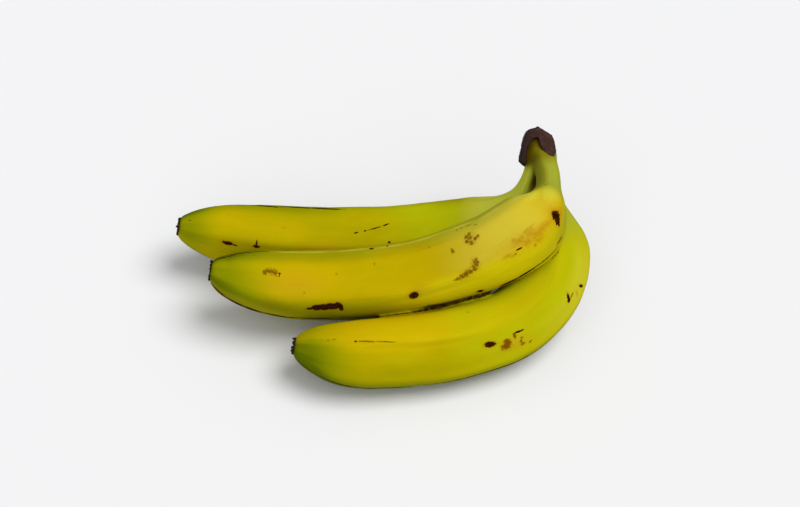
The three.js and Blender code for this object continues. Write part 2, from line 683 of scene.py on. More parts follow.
MARKS = marks_on(Place.BACK, {
    Kind.BLUSH: ((88, -9, 34, 6),),
    Kind.RUST: ((62, 20, 4, 2.2),),
    Kind.SCAB: ((29.5, -20, 7, 3.2, -6), (33.8, -21.5, 4.4, 1.2, -10), (46.5, -12.5, 1.2, 5),
        (46.8, -16.8, 4.2, 2.2), (107.5, 15.5, 4, 0.9, 14), (113, 18.5, 2, 1, 14),
        (119, 22.5, 8, 0.8, 14), (126, 28, 5, 0.9, 20), (30, 72, 20, 1.9, -9),
        (49, 66, 24, 1.5, -5), (70, 66, 24, 1.4, -3), (88, 64, 24, 1.4, -2), (6, 30, 1.6, 1.2),
        (15, -84, 20, 1.2), (150, -10, 1.4, 1), (26, 75, 16, 2.6), (40, 79, 18, 2.6),
        (127.5, -1.5, 2.2, 1.4)),
}) + marks_on(Place.MIDDLE, {
    Kind.BLUSH: ((50, 2, 56, 22), (125, -22, 16, 8), (189.1, -20, 46, 16, -8),
        (203, -12, 14, 12)),
    # Painted highlight along the top ridge and onto the shoulder.
    Kind.PALE: ((47, 82, 30, 5), (62, 78, 34, 5), (85.3, 76, 34, 5), (110.7, 72, 34, 5),
        (135.2, 71, 34, 5), (159.6, 65, 34, 3.2), (182, 60, 30, 7), (198.3, 52, 26, 11),
        (206, 38, 18, 14), (211, 6, 16, 24)),
    # The two by the neck are painted shade in the groove above the ridge; the long one is an olive
    # patch.
    Kind.OLIVE_AND_SHADE: ((214.4, 40, 8, 3, -45), (218, 24, 9, 3, -60), (40, -42, 40, 16)),
    Kind.RUST: ((34.7, 19, 10, 5), (165.5, 26, 9, 9), (156.5, -21.5, 19, 6.5, 12),
        (163.7, -12, 6.5, 10), (183.7, -9.5, 4.4, 3.2), (187.1, -11.6, 5.4, 3.2),
        (191, -7.4, 8, 2.6), (191.2, -13, 7, 5), (193.4, -21, 9, 7), (192.4, -29, 5, 4.6),
        (196.2, -19, 6, 5), (198.4, -21, 6.4, 5), (188.4, -21.5, 7, 4.4), (177.3, -23.5, 6, 2.8),
        (179.4, -27.5, 6, 2.2), (185.5, -14, 9, 5), (204.2, -30, 5.2, 9, -15, 0.5)),
    Kind.BRUISE: ((31.7, 18.4, 3.6, 4.2), (33.3, 21.6, 6, 4), (36.1, 21.8, 6, 4),
        (38.1, 19, 4.4, 4.4, -20), (163.7, 31.5, 3, 3), (165.5, 34, 2.8, 2.8),
        (165.3, 28.4, 3.2, 2.8), (163.5, 24.6, 3, 3), (165.5, 20.6, 3.6, 3),
        (168.3, 23.6, 2.8, 2.8), (169.8, 26, 2.4, 2.4), (152.3, 18.8, 3.8, 3.4),
        (157.1, 55.8, 2.2, 1.3), (160.2, 57.3, 2.4, 1.3), (165.3, 56.8, 4.4, 1.2),
        (169.8, 48.6, 3, 1.5), (148.8, -24.6, 5, 2.4, 10), (152.5, -23.4, 5.4, 3.2, 10),
        (155.9, -21.8, 5.4, 3.8, 12), (159, -20.6, 4.4, 3.6), (162, -17.4, 3.8, 4.6),
        (164.1, -12.6, 3.6, 5), (164.1, -8.4, 3.2, 3.2), (199.1, -77, 5, 5)),
    Kind.SCAB: ((107.7, 76, 1.6, 3), (97.5, 72, 3, 3.4), (3, 62, 6, 4.2, 16),
        (8, 70, 10, 3.2, 10), (16, 77, 13, 2.8, 5), (26, 82, 13, 2, 4), (40.8, 17.2, 0.7, 2.8),
        (40.9, 18.6, 1.6, 1), (60, -38.8, 5, 2.2, 8), (63.8, -36.9, 6.4, 4.6, 2, 0.5),
        (67.8, -35.8, 8, 4.9, 1, 0.5), (72.2, -34.4, 9, 4.9, 0, 0.5),
        (75.9, -32.6, 5.4, 4.4, 0, 0.6), (77.5, -36.2, 3, 4.8, 0, 0.6), (77.7, -41.5, 2.8, 2.2),
        (120.7, -30.4, 6.2, 4.4, 10, 0.6), (183.6, -23.4, 3.6, 0.9, -3),
        (202.4, -24, 3.4, 7.2, -6, 0.3), (201.6, -31, 2.4, 6.8, -6, 0.3),
        # The four long scabs at -85 to -90.5 degrees from 170 to 193 mm are dark scars together
        # with painted shade along the lower edge by the front finger.
        (201.1, -37.5, 1.2, 4.4, 0, 0.3), (169.8, -90.5, 12, 3.2), (178.4, -90, 12, 2.6),
        (186.1, -88.5, 11, 1.3), (193.2, -85.5, 9, 1), (155.1, -78, 4, 5),
        (125, -66.5, 3.6, 1, 20), (128.5, -71, 5, 1.2, -10), (6, -78, 12, 4.4),
        (17, -86, 16, 4.8), (28, -87, 12, 5.6), (42, -82, 20, 3.6), (60, -78, 24, 3)),
}) + marks_on(Place.FRONT, {
    Kind.BLUSH: ((123.2, -22.5, 18, 14), (180, 19, 8, 5)),
    Kind.RUST: ((117.6, -21.5, 9, 10), (161.1, -39, 2.4, 6, -26)),
    Kind.BRUISE: ((42, 24.6, 14, 1.4, -5, 0.6), (52, 22.2, 14, 1, -6, 0.6), (19, 26.8, 1.6, 1.2),
        (22, 28.5, 2, 1.4), (126.5, -20, 2.2, 2.4), (125.6, -25, 1.7, 2.8),
        (126, -30.5, 2.8, 2.8), (129.7, -34, 1.9, 1.9)),
    Kind.STAIN: ((117.7, -22.4, 7, 5.4), (118.8, -18, 5.4, 6), (118.8, -14.5, 2.4, 4.4),
        (123.4, -11, 1.9, 4.4), (158.6, -29.1, 3.4, 1.6)),
    Kind.SCAB: ((35.2, 25.6, 1.7, 1.2), (109.4, -10.5, 6.8, 3.4, -10, 0.7),
        (126, -7.7, 5.6, 1.3, -6), (156.5, -24.5, 5.5, 1.8, 65, 0.6), (155.8, -28.5, 2.6, 2.2),
        (165.2, -41, 1.5, 3.8, 12), (8, -60, 16, 2.2, -8), (24, -66, 26, 2.2, -4),
        (48, -72, 40, 2.4), (113, -67.5, 80, 2.6)),
})


@dataclass(frozen=True)
class StrayMarks:
    """Small marks scattered over the sides that the placed ones leave bare.

    The pairs are what a mark's measures are drawn between; bruises and rust are larger.
    """

    per_finger: int = 5
    seed: int = 17
    kinds: tuple[Kind, ...] = (Kind.SCAB, Kind.BRUISE, Kind.SCAB, Kind.RUST)
    along: tuple[float, float] = (25, 190)
    angle: tuple[float, float] = (100, 255)
    length: tuple[float, float] = (1.5, 6)
    width: tuple[float, float] = (1.0, 3.2)
    turn: tuple[float, float] = (-25, 25)
    soft_scale: float = 2.4

    def scatter(self) -> tuple[Mark, ...]:
        """Draws the scattered marks.

        Returns:
            The marks, the same ones each time.
        """
        draw = np.random.default_rng(self.seed)
        found = []
        for place in Place:
            for number in range(self.per_finger):
                kind = self.kinds[number % len(self.kinds)]
                scale = 1.0 if kind is Kind.SCAB else self.soft_scale
                found.append(Mark(
                    place, draw.uniform(*self.along), draw.uniform(*self.angle),
                    scale * draw.uniform(*self.length), scale * draw.uniform(*self.width),
                    kind, draw.uniform(*self.turn)))
        return tuple(found)


# ---------------------------------------------------------------- shader nodes

class Board:
    """Lays out the nodes of one tree and joins them."""

    def __init__(self, tree: NodeTree) -> None:
        """Starts on a tree."""
        self.tree = tree

    def wire(self, node: Node, wires: dict[Any, Any]) -> None:
        """Feeds a node's inputs.

        Args:
            node: the node.
            wires: input socket name or number to a socket or a constant.
        """
        for key, value in wires.items():
            if isinstance(value, NodeSocket):
                self.tree.links.new(value, node.inputs[key])
            else:
                node.inputs[key].default_value = value

    def node(self, kind: str, wires: dict[Any, Any] | None = None, **settings: Any) -> Node:
        """Adds a node.

        Args:
            kind: the node's type, less "ShaderNode".
            wires: what feeds its inputs.
            settings: the node's properties.
        Returns:
            The node.
        """
        made = self.tree.nodes.new(f"ShaderNode{kind}")
        for key, value in settings.items():
            setattr(made, key, value)
        self.wire(made, wires or {})
        return made

    def math(self, operation: str, *terms: Any, clamp: bool = False) -> NodeSocket:
        """Returns the result of a Math node on the terms."""
        return self.node("Math", dict(enumerate(terms)), operation=operation,
                         use_clamp=clamp).outputs[0]

    def times(self, first: Any, second: Any) -> NodeSocket:
        """Returns the product of two values."""
        return self.math("MULTIPLY", first, second)

    def plus(self, first: Any, second: Any) -> NodeSocket:
        """Returns the sum of two values."""
        return self.math("ADD", first, second)

    def centred(self, value: Any) -> NodeSocket:
        """Returns a value less a half."""
        return self.math("SUBTRACT", value, 0.5)

    def vector(self, operation: str, *terms: Any) -> NodeSocket:
        """Returns what a Vector Math node makes of the terms."""
        made = self.node("VectorMath", dict(enumerate(terms)), operation=operation)
        return made.outputs["Value" if operation in ("LENGTH", "DOT_PRODUCT") else "Vector"]

    def split(self, vector: Any) -> Any:
        """Returns the three parts of a vector."""
        return self.node("SeparateXYZ", {0: vector}).outputs

    def attribute(self, name: str) -> NodeSocket:
        """Returns a piece's own vector attribute."""
        return self.node("Attribute", attribute_name=name).outputs["Vector"]

    def fade(self, value: Any, low: float, high: float, to_low: float = 0.0,
             to_high: float = 1.0) -> NodeSocket:
        """Returns a smooth change from to_low at low to to_high at high."""
        return self.node("MapRange", {0: value, 1: low, 2: high, 3: to_low, 4: to_high},
                         interpolation_type="SMOOTHSTEP").outputs[0]

    def blend(self, factor: Any, first: Any, second: Any) -> NodeSocket:
        """Returns two colours mixed by a factor."""
        return self.node("Mix", {0: factor, 6: first, 7: second}, data_type="RGBA").outputs[2]

    def noise(self, place: Any, scale: Any, detail: Any = 2.0,
              roughness: float = 0.5) -> NodeSocket:
        """Returns a noise value around a half."""
        return self.node("TexNoise", {"Vector": place, "Scale": scale, "Detail": detail,
                                      "Roughness": roughness}).outputs[0]

    def ramp(self, value: Any, stops: tuple[tuple[float, Colour], ...]) -> NodeSocket:
        """Colours a value.

        Args:
            value: the value, from 0 to 1.
            stops: places on the ramp, each with its colour.
        Returns:
            The colour.
        """
        made = self.node("ValToRGB", {0: value})
        band = made.color_ramp
        while len(band.elements) < len(stops):
            band.elements.new(1.0)
        for element, (place, colour) in zip(band.elements, stops):
            element.position = place
            element.color = colour
        return made.outputs[0]


def new_group(name: str, inputs: dict[str, str], outputs: tuple[str, ...]
              ) -> tuple[NodeTree, Board, Any, Any]:
    """Starts a shader node group.

    Args:
        name: the group's name.
        inputs: socket name to "Float", "Vector" or "Color".
        outputs: the names of the values that it puts out.
    Returns:
        The group, a board on it, its input node's outputs and its output node's inputs.
    """
    tree = bpy.data.node_groups.new(name, "ShaderNodeTree")
    for socket, kind in inputs.items():
        tree.interface.new_socket(socket, in_out="INPUT", socket_type=f"NodeSocket{kind}")
    for socket in outputs:
        tree.interface.new_socket(socket, in_out="OUTPUT", socket_type="NodeSocketFloat")
    return (tree, Board(tree), tree.nodes.new("NodeGroupInput").outputs,
            tree.nodes.new("NodeGroupOutput").inputs)


class SharedEffects:
    """The node groups that more than one material or mark uses, each built once."""

    def __init__(self) -> None:
        """Builds the groups."""
        self.spot = self.make_spot()
        self.fibres = self.make_fibres()
        self.crust = self.make_crust()

    @staticmethod
    def make_spot() -> NodeTree:
        """Masks one ragged oval on the skin's map.

        Returns:
            The group.
        """
        tree, board, given, out = new_group(
            "RaggedSpot",
            {"Map": "Vector", "Centre": "Vector", "Half Size": "Vector", "Turn": "Float",
             "Ragged": "Float", "Raggedness": "Float", "Softness": "Float"}, ("Mask", "Halo"))
        rim, halo = 1.12, (1.9, 0.8)
        offset = board.vector("SUBTRACT", given["Map"], given["Centre"])
        turned = board.node("VectorRotate", {"Vector": offset, "Angle": given["Turn"]},
                            rotation_type="Z_AXIS", invert=True).outputs[0]
        reach = board.vector("LENGTH", board.vector("DIVIDE", turned, given["Half Size"]))
        edge = board.math("MULTIPLY_ADD", given["Ragged"], given["Raggedness"], reach)
        inner = board.math("SUBTRACT", rim, given["Softness"])
        tree.links.new(board.fade(edge, rim, inner), out["Mask"])
        tree.links.new(board.fade(edge, *halo), out["Halo"])
        return tree

    @staticmethod
    def make_fibres() -> NodeTree:
        """Draws long soft streaks down a finger.

        Returns:
            The group.
        """
        tree, board, given, out = new_group(
            "SkinStreaks", {"Ring": "Vector", "Stretch": "Float", "Scale": "Float",
                            "Detail": "Float"}, ("Value",))
        along, cosine, sine = board.split(given["Ring"])
        place = board.node("CombineXYZ", {
            0: board.times(along, given["Stretch"]), 1: board.times(cosine, ARC_RADIUS * MM),
            2: board.times(sine, ARC_RADIUS * MM)}).outputs[0]
        tree.links.new(board.noise(place, given["Scale"], given["Detail"]), out["Value"])
        return tree

    @staticmethod
    def make_crust() -> NodeTree:
        """Lays out dried tissue: a height and a tone that vary together.

        Returns:
            The group.
        """
        tree, board, given, out = new_group(
            "DriedCrust", {"Place": "Vector", "Scale": "Float"}, ("Height", "Tone"))
        coarse = board.noise(given["Place"], given["Scale"], 6.0, 0.62)
        cells = board.node("TexVoronoi", {
            "Vector": given["Place"], "Scale": board.times(given["Scale"], 2.3),
            "Randomness": 1.0}).outputs["Distance"]
        height = board.math("MULTIPLY_ADD", cells, -0.35, coarse)
        tree.links.new(height, out["Height"])
        tree.links.new(board.fade(height, 0.15, 0.55), out["Tone"])
        return tree


def new_material(name: str) -> tuple[Material, Board, Node]:
    """Starts a material.

    Args:
        name: the material's name.
    Returns:
        The material, a board on its nodes and its Principled shader.
    """
    material = bpy.data.materials.new(name)
    material.use_nodes = True
    shader = next(n for n in material.node_tree.nodes if n.type == "BSDF_PRINCIPLED")
    return material, Board(material.node_tree), shader


@dataclass(frozen=True)
class Streaks:
    """A layer of streaks: its stretch along the finger, scale, detail and pull on ripeness."""

    stretch: float
    scale: float
    detail: float = 3.0
    pull: float = 0.0


@dataclass(frozen=True)
class Grain:
    """A noise on the skin's map: its scale, detail and roughness, and a fade if it has one."""

    scale: float
    detail: float
    roughness: float = 0.5
    fade: Fade = ()


@dataclass(frozen=True)
class Look:
    """How one kind of mark shows: colour, strength, and its edge's softness and raggedness."""

    tint: Colour
    strength: float
    softness: float
    raggedness: float = 1.0


LOOKS = {
    Kind.BLUSH: Look(shade(190, 150, 20), 0.55, 1.1),
    # Painted highlight.
    Kind.PALE: Look(shade(210, 208, 66), 0.6, 1.0),
    # Olive, and painted shade in a groove.
    Kind.OLIVE_AND_SHADE: Look(shade(118, 112, 6), 0.55, 1.1),
    Kind.RUST: Look(shade(170, 120, 14), 1.0, 1.0),
    Kind.BRUISE: Look(shade(104, 70, 4), 0.95, 0.8, 1.8),
    Kind.STAIN: Look(shade(112, 60, 3), 0.9, 0.7),
    Kind.SCAB: Look(shade(31, 11, 2), 1.0, 0.35),
}


@dataclass(frozen=True)
class PeelFinish:
    """Ripening skin: green ends, yellow facets, painted highlights, streaks, ridges and marks."""

    ripe_colours: tuple[tuple[float, Colour], ...] = (
        (0.0, shade(92, 106, 1)), (0.28, shade(134, 137, 2)), (0.52, shade(160, 151, 2)),
        (0.76, shade(183, 161, 2)), (1.0, shade(197, 166, 3)))
    usual_ripeness: float = 0.74
    unripe_below: Fade = (0.30, -0.5, 0.0, 0.16)
    patches: Streaks = Streaks(0.40, 42.0, pull=0.62)
    lanes: Streaks = Streaks(0.12, 120.0, pull=0.22)
    fine: Streaks = Streaks(0.06, 420.0, pull=0.08)
    mottle: Streaks = Streaks(1.0, 260.0, 4.0, 0.05)
    drift: Streaks = Streaks(0.5, 70.0, pull=1.1)
    drift_base: float = -0.03
    drift_ripeness: Fade = (0.30, 0.62)
    fresh: Colour = shade(171, 176, 8)
    butter: Colour = shade(211, 194, 8)
    butter_lanes: Fade = (0.3, 0.6, 0.7)
    # Painted highlight: these shoulder and neck colours stand in for light falling there.
    pale: Colour = shade(212, 194, 60)
    painted_sheen_patches: Fade = (0.25, 0.65, 0.6)
    neck_painted_light: Colour = shade(206, 212, 66)
    neck_lime: Colour = shade(152, 158, 46)
    # The crown olive also paints shade on one side of the middle finger's neck.
    crown_olive_and_neck_shade: Colour = shade(122, 113, 14)
    # The slit colour is painted shade between the necks, also used inside the callus's arch.
    slit_shade_brown: Colour = shade(80, 62, 4)
    crest_line: Fade = (0.86, 1.0)
    crest_breaks: Fade = (0.44, 0.66)
    crest_strength: float = 0.22
    edge_noise: Grain = Grain(760.0, 3.0, 0.55)
    edge_reach: float = 1.25
    blotches: Grain = Grain(900.0, 3.0, 0.6, (0.38, 0.62, 0.72, 1.0))
    specks: Grain = Grain(1300.0, 2.0, 0.6, (0.50, 0.62))
    speck_share: tuple[float, float] = (0.20, 0.60)
    halo_width: float = 1.5
    halo_slimness: float = 4.0
    halo_strength: float = 0.45
    freckle_scale: float = 210.0
    freckle_choice: Fade = (0.93, 0.95)
    freckle_rim: Fade = (0.20, 0.08)
    freckle_strength: float = 0.4
    scab_light: Colour = shade(68, 31, 4)
    scab_scale: float = 700.0
    # The seam colours: rub marks together with painted shade between the middle and front fingers;
    # the scuff colour also wears the ridge crests.
    crease_shade_brown: Colour = shade(50, 31, 3)
    scuff_and_shade: Colour = shade(90, 72, 6)
    seam_noise: Grain = Grain(300.0, 3.0, 0.5, (0.42, 0.62))
    rub_and_shade_ragged: float = 0.45
    rub_and_shade_rim: Fade = (0.42, 0.80)
    roughness: float = 0.47
    roughness_mottle: float = 0.18
    roughness_scab: float = 0.3
    heights: Point = (0.5, 0.35, 1.2)
    bump: tuple[float, float] = (0.18, 0.0006)
    gloss: float = 0.5
    gloss_tint: Colour = (1.0, 0.95, 0.15, 1.0)
    ior: float = 1.04

    def spots(self, board: Board, effects: SharedEffects, uv: Any, ragged: Any,
              marks: tuple[Mark, ...], kind: Kind) -> tuple[Any, Any]:
        """Draws all the marks of one kind.

        Args:
            board: the material's nodes.
            effects: the shared node groups.
            uv: the skin's map.
            ragged: noise for the marks' edges.
            marks: all marks.
            kind: the kind to draw.
        Returns:
            The masks of the marks and of the halos round them.
        """
        look = LOOKS[kind]
        mask, halo = 0.0, 0.0
        for mark in (m for m in marks if m.kind is kind):
            across = math.radians(mark.angle) * ARC_RADIUS * MM + mark.place.value * FINGER_STRIP
            spot = board.node("Group", {
                "Map": uv, "Centre": (mark.along * MM, across, 0.0),
                "Half Size": (mark.length * MM / 2, mark.width * MM / 2, 1.0),
                "Turn": math.radians(mark.turn), "Ragged": ragged,
                "Raggedness": mark.ragged * look.raggedness,
                "Softness": look.softness}, node_tree=effects.spot)
            mask = board.math("MAXIMUM", mask, spot.outputs["Mask"])
            blunt = mark.length < self.halo_slimness * mark.width
            if kind is Kind.SCAB and mark.width > self.halo_width and blunt:
                halo = board.math("MAXIMUM", halo, spot.outputs["Halo"])
        return mask, halo

    def ripeness(self, board: Board, facing: Any, tone: Any,
                 layers: dict[NodeSocket, Streaks]) -> NodeSocket:
        """Finds how ripe the skin is.

        Args:
            board: the material's nodes.
            facing: cosine of the angle from OUTWARD.
            tone: the facets' ripeness.
            layers: the streaks, each with its layer.
        Returns:
            The ripeness, from green at 0 to golden at 1.
        """
        under = board.fade(facing, *self.unripe_below)
        ripe = board.math("SUBTRACT", board.plus(tone, self.usual_ripeness), under)
        for value, layer in layers.items():
            ripe = board.plus(ripe, board.times(board.centred(value), layer.pull))
        return ripe

    def build(self, effects: SharedEffects, marks: tuple[Mark, ...]) -> Material:
        """Makes the skin's material.

        Args:
            effects: the shared node groups.
            marks: all marks on the skin.
        Returns:
            The material.
        """
        material, board, shader = new_material("peel_skin")
        ring, zone, skin, glows = (board.attribute(name) for name in (
            RING_COORDS, ZONE_COORDS, SKIN_TONE, SKIN_GLOW))
        uv = board.node("UVMap", uv_map=UV_MAP).outputs[0]
        _, facing, _ = board.split(ring)
        neck, crest, rub_and_shade = board.split(zone)
        tone, sheen_share, fresh = board.split(skin)
        glow, crown, slit = board.split(glows)

        def streaks(layer: Streaks) -> NodeSocket:
            """Returns one layer of streaks."""
            return board.node("Group", {
                "Ring": ring, "Stretch": layer.stretch, "Scale": layer.scale,
                "Detail": layer.detail}, node_tree=effects.fibres).outputs[0]

        def grain(layer: Grain) -> NodeSocket:
            """Returns one noise on the map."""
            value = board.noise(uv, layer.scale, layer.detail, layer.roughness)
            return board.fade(value, *layer.fade) if layer.fade else value

        layers = {streaks(layer): layer for layer in (
            self.patches, self.lanes, self.fine, self.mottle)}
        patches, lanes, fine, mottle = layers
        ripe = self.ripeness(board, facing, tone, layers)
        colour = board.ramp(ripe, self.ripe_colours)
        drift = board.math("MULTIPLY_ADD", board.centred(streaks(self.drift)), self.drift.pull,
                           board.plus(fresh, self.drift_base), clamp=True)
        crest_line = board.times(board.fade(crest, *self.crest_line),
                                 board.fade(lanes, *self.crest_breaks))
        # Painted highlight lightens shoulders and necks here; the crown olive and slit colours
        # also paint shade on the necks.
        for share, tint in (
                (board.times(drift, board.fade(ripe, *self.drift_ripeness)), self.fresh),
                (board.times(glow, board.fade(lanes, *self.butter_lanes)), self.butter),
                (board.times(sheen_share, board.fade(patches, *self.painted_sheen_patches)), self.pale),
                (neck, board.blend(sheen_share, self.neck_lime, self.neck_painted_light)),
                (crown, self.crown_olive_and_neck_shade), (slit, self.slit_shade_brown),
                (board.times(crest_line, self.crest_strength), self.scuff_and_shade)):
            colour = board.blend(share, colour, tint)
        ragged = board.times(board.centred(grain(self.edge_noise)), self.edge_reach)
        masks = {kind: self.spots(board, effects, uv, ragged, marks, kind) for kind in Kind}
        scab, halo = masks.pop(Kind.SCAB)
        blotch, speck = grain(self.blotches), grain(self.specks)
        patchy = {
            Kind.RUST: board.times(board.math("MULTIPLY_ADD", speck, *self.speck_share), blotch),
            Kind.BRUISE: board.times(blotch, LOOKS[Kind.BRUISE].strength)}
        for kind, (mask, _) in masks.items():
            share = board.times(mask, patchy.get(kind, LOOKS[kind].strength))
            colour = board.blend(share, colour, LOOKS[kind].tint)
        freckle = board.node("TexVoronoi", {"Vector": uv, "Scale": self.freckle_scale}).outputs
        chosen = board.fade(board.node("SeparateColor", {0: freckle["Color"]}).outputs[0],
                            *self.freckle_choice)
        dots = board.times(board.fade(freckle["Distance"], *self.freckle_rim), chosen)
        # The seam: rub marks together with painted shade in the crease and under the middle
        # finger.
        seam = board.blend(grain(self.seam_noise), self.crease_shade_brown, self.scuff_and_shade)
        rub_and_shade_mask = board.fade(board.math("MULTIPLY_ADD", ragged, self.rub_and_shade_ragged, rub_and_shade),
                          *self.rub_and_shade_rim)
        crusty = board.node("Group", {"Place": uv, "Scale": self.scab_scale},
                            node_tree=effects.crust).outputs
        dried = board.blend(crusty["Tone"], LOOKS[Kind.SCAB].tint, self.scab_light)
        for share, tint in (
                (board.times(dots, self.freckle_strength), self.scab_light),
                (board.times(halo, self.halo_strength), LOOKS[Kind.RUST].tint),
                (rub_and_shade_mask, seam), (scab, dried)):
            colour = board.blend(share, colour, tint)
        rough = board.plus(self.roughness,
                           board.times(board.centred(mottle), self.roughness_mottle))
        rough = board.math("ADD", rough, board.times(scab, self.roughness_scab), clamp=True)
        swells = (fine, mottle, board.times(scab, crusty["Height"]))
        fine_up, mottle_up, scab_up = (
            board.times(value, height) for value, height in zip(swells, self.heights))
        strength, distance = self.bump
        bump = board.node("Bump", {
            "Strength": strength, "Distance": distance,
            "Height": board.plus(board.plus(fine_up, mottle_up), scab_up)})
        board.wire(shader, {
            "Base Color": colour, "Roughness": rough, "Normal": bump.outputs[0],
            "IOR": self.ior, "Specular IOR Level": self.gloss, "Specular Tint": self.gloss_tint})
        return material


@dataclass(frozen=True)
class CrustFinish:
    """Dried, darkened tissue of the crown's cut or of a blossom end, darker towards its rim
    where painted shade darkens the faces turned away from OUTWARD.

    Painted shade darkens the tissue at low X, fading out along X over its shaded side, if it has
    one.
    """

    name: str
    dark: Colour
    light: Colour
    scale: float
    roughness: float = 0.62
    roughness_tone: float = 0.15
    gloss: float = 0.12
    bump: tuple[float, float] = (0.5, 0.0008)
    patch_scale: float = 0.25
    patch_fade: Fade = (0.35, 0.65)
    patch_share: tuple[float, float] = (0.4, 0.6)
    mottle: float = 1.0
    mean_tone: float = 0.8
    painted_shade_side: tuple[float, float] = (0.0, 0.0)
    painted_shade_tone: float = 0.35
    rim: float = 0.0
    painted_shade_facing: Fade = (0.45, 0.9)

    def build(self, effects: SharedEffects) -> Material:
        """Makes the material.

        Args:
            effects: the shared node groups.
        Returns:
            The material.
        """
        material, board, shader = new_material(self.name)
        place = board.node("TexCoord").outputs["Object"]
        crust = board.node("Group", {"Place": place, "Scale": self.scale},
                           node_tree=effects.crust).outputs
        patch = board.fade(board.noise(place, self.scale * self.patch_scale, 3.0),
                           *self.patch_fade)
        tone = board.times(crust["Tone"], board.math("MULTIPLY_ADD", patch, *self.patch_share))
        tone = board.math("MULTIPLY_ADD", tone, self.mottle, self.mean_tone * (1 - self.mottle))
        # Painted shade: the tissue darkens at low X.
        if self.painted_shade_side[0] < self.painted_shade_side[1]:
            tone = board.times(tone, board.fade(board.split(place)[0], *self.painted_shade_side,
                                                self.painted_shade_tone))
        # Painted shade: faces turned away from OUTWARD darken towards the rim.
        if self.rim:
            normal = board.node("NewGeometry").outputs["Normal"]
            facing = board.vector("DOT_PRODUCT", normal, OUTWARD)
            tone = board.times(tone, board.fade(facing, *self.painted_shade_facing, 1 - self.rim))
        strength, distance = self.bump
        bump = board.node("Bump", {"Strength": strength, "Distance": distance,
                                   "Height": crust["Height"]})
        board.wire(shader, {
            "Base Color": board.blend(tone, self.dark, self.light),
            "Roughness": board.math("MULTIPLY_ADD", crust["Tone"], self.roughness_tone,
                                    self.roughness),
            "Normal": bump.outputs[0], "Specular IOR Level": self.gloss})
        return material


# ---------------------------------------------------------------- the hand

@dataclass(frozen=True)
class Lobe:
    """A rounded block of crown tissue: centre and size in mm, turn in degrees."""

    at: Point
    size: Point
    turn: float = 0.0


